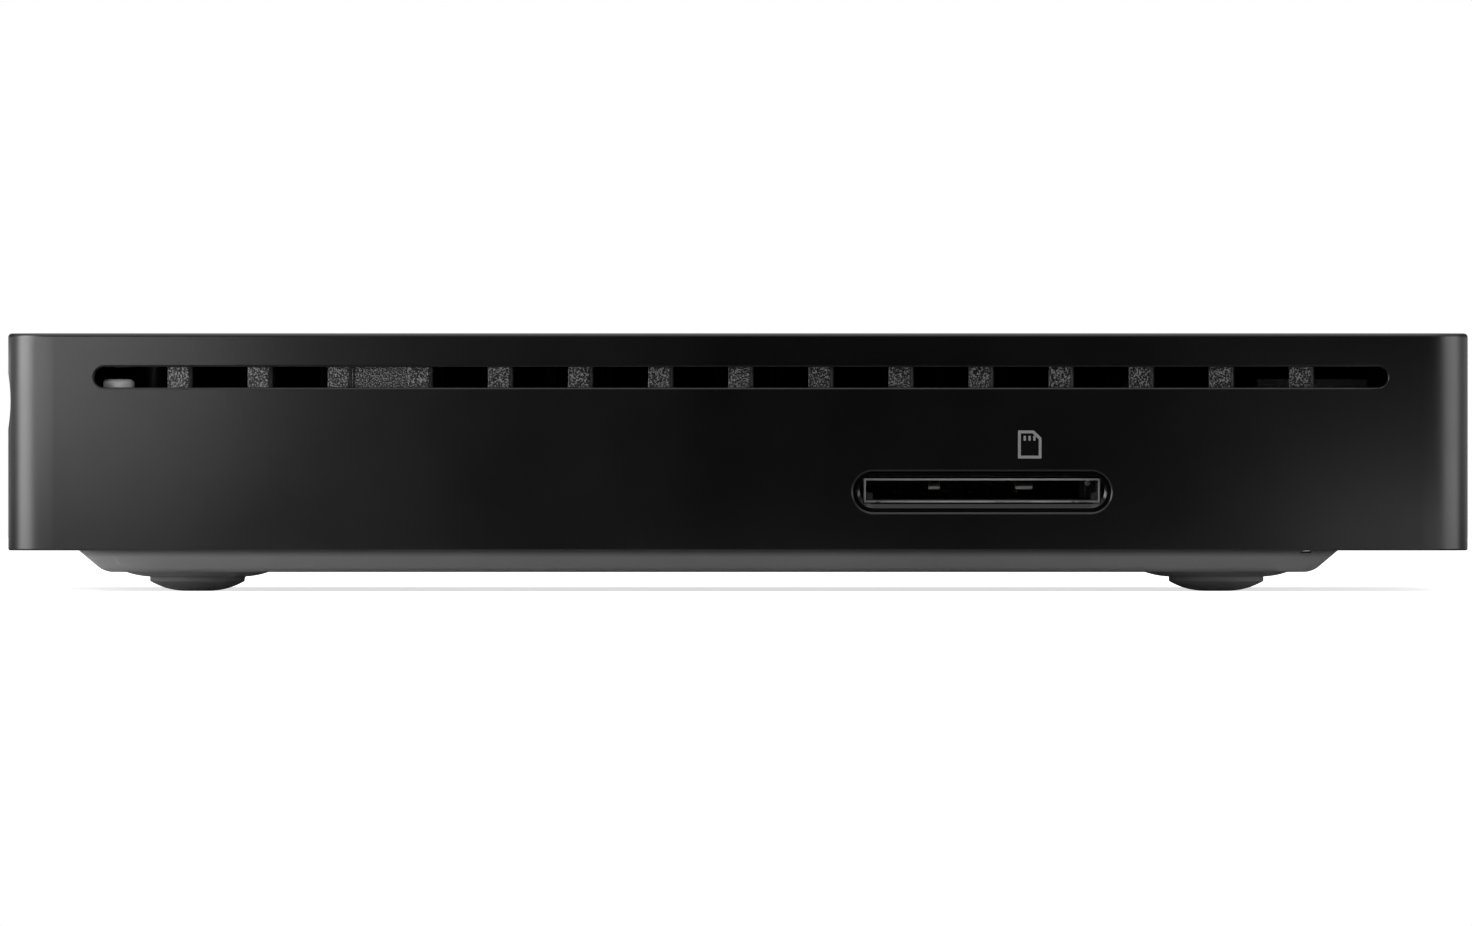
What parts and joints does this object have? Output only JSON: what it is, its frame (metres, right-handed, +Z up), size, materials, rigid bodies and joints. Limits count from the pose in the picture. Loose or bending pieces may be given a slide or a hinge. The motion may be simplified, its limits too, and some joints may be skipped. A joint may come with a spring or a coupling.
{
  "type": "digital signage player",
  "caption": "Flat square media player on rubber feet, with a ribbed side vent, a spring-return memory-card slot, a front power button and rear sockets.",
  "frame": {"origin": "on the table, under the middle of the case", "axes": "+X from the front face to the rear panel, +Y from the memory-card side to the far side, +Z up"},
  "size_m": [0.155, 0.155, 0.0274],
  "materials": {
    "cover_plastic": "moulded ABS with a fine satin grain",
    "base_plastic": "moulded ABS, fine matt grain",
    "grille_plastic": "moulded ABS with a coarse spark-eroded grain",
    "panel_plastic": "moulded ABS, fine matt grain",
    "bezel_plastic": "polished moulded plastic",
    "foot_rubber": "moulded matt rubber",
    "insert_brass": "turned brass",
    "screw_steel": "zinc-plated steel",
    "window_plastic": "polished dark plastic",
    "button_plastic": "moulded ABS with a fine satin grain",
    "board_laminate": "glass-fibre laminate with solder mask",
    "chip_epoxy": "moulded epoxy",
    "spreader_metal": "nickel-plated lid on a laminate",
    "sink_aluminium": "extruded and black anodised",
    "gap_pad": "soft silicone sheet",
    "sheet_steel": "tin-plated sheet",
    "ferrite": "pressed ferrite",
    "can_aluminium": "drawn can",
    "cell_steel": "nickel-plated steel",
    "holder_plastic": "moulded nylon",
    "socket_steel": "nickel-plated sheet",
    "socket_plastic": "moulded liquid-crystal polymer",
    "contact_gold": "gold-plated spring metal",
    "spring_steel": "drawn spring wire",
    "slider_plastic": "moulded liquid-crystal polymer",
    "light_plastic": "clear moulded light guide",
    "switch_plastic": "moulded nylon",
    "plunger_plastic": "moulded nylon",
    "ribbon_film": "polyester film over flat conductors",
    "inlet_plastic": "moulded nylon",
    "jack_green": "moulded nylon",
    "jack_pink": "moulded nylon",
    "jack_blue": "moulded nylon",
    "filter_foam": "open polyurethane foam"
  },
  "bodies": {
    "housing": {"base_plate": "base_plastic", "base_screws": "screw_steel", "board_screws": "screw_steel", "cam_pin": "spring_steel", "capacitors": "can_aluminium", "card_connector_base": "socket_plastic", "card_connector_shell": "socket_steel", "card_contacts": "contact_gold", "card_slot_bezel": "bezel_plastic", "coin_cell": "cell_steel", "coin_cell_holder": "holder_plastic", "dc_inlet_body": "inlet_plastic", "dc_inlet_pin": "socket_steel", "dust_filter": "filter_foam", "foot_front_card_side": "foot_rubber", "foot_front_far_side": "foot_rubber", "foot_rear_card_side": "foot_rubber", "foot_rear_far_side": "foot_rubber", "front_board": "board_laminate", "front_board_screws": "screw_steel", "heat_sink": "sink_aluminium", "heat_sink_screws": "screw_steel", "ir_receiver": "chip_epoxy", "ir_window": "window_plastic", "lan_jack_body": "socket_plastic", "lan_jack_contacts": "contact_gold", "lan_jack_lights": "light_plastic", "lan_jack_shell": "socket_steel", "main_board": "board_laminate", "memory_chips": "chip_epoxy", "mount_inserts": "insert_brass", "power_inductors": "ferrite", "processor": "spreader_metal", "rear_panel": "panel_plastic", "ribbon_cable": "ribbon_film", "ribbon_sockets": "holder_plastic", "round_jack_1": "jack_green", "round_jack_2": "jack_pink", "round_jack_3": "jack_blue", "shield_can": "sheet_steel", "slider_spring": "spring_steel", "status_light": "light_plastic", "storage_chip": "chip_epoxy", "switch_body": "switch_plastic", "thermal_pad": "gap_pad", "top_cover": "cover_plastic", "usb_body": "socket_plastic", "usb_contacts": "contact_gold", "usb_shell": "socket_steel", "vent_grille_card_side": "grille_plastic", "vent_grille_far_side": "grille_plastic", "video_contacts": "contact_gold", "video_socket_1_body": "socket_plastic", "video_socket_1_shell": "socket_steel", "video_socket_2_body": "socket_plastic", "video_socket_2_shell": "socket_steel", "wireless_module": "board_laminate"},
    "button": {"power_button": "button_plastic", "switch_plunger": "plunger_plastic"},
    "card_carriage": {"card_slider": "slider_plastic"}
  },
  "joints": [
    {"name": "button_press", "type": "slide", "parent": "housing", "child": "button", "axis": [1, 0, 0], "range_m": [0, 0.0003], "stiffness_N_per_m": 1500, "springref_m": -0.0005},
    {"name": "card_slide", "type": "slide", "parent": "housing", "child": "card_carriage", "axis": [0, 1, 0], "range_m": [0, 0.0055], "stiffness_N_per_m": 150, "springref_m": -0.004, "deforming": ["slider_spring"]}
  ]
}
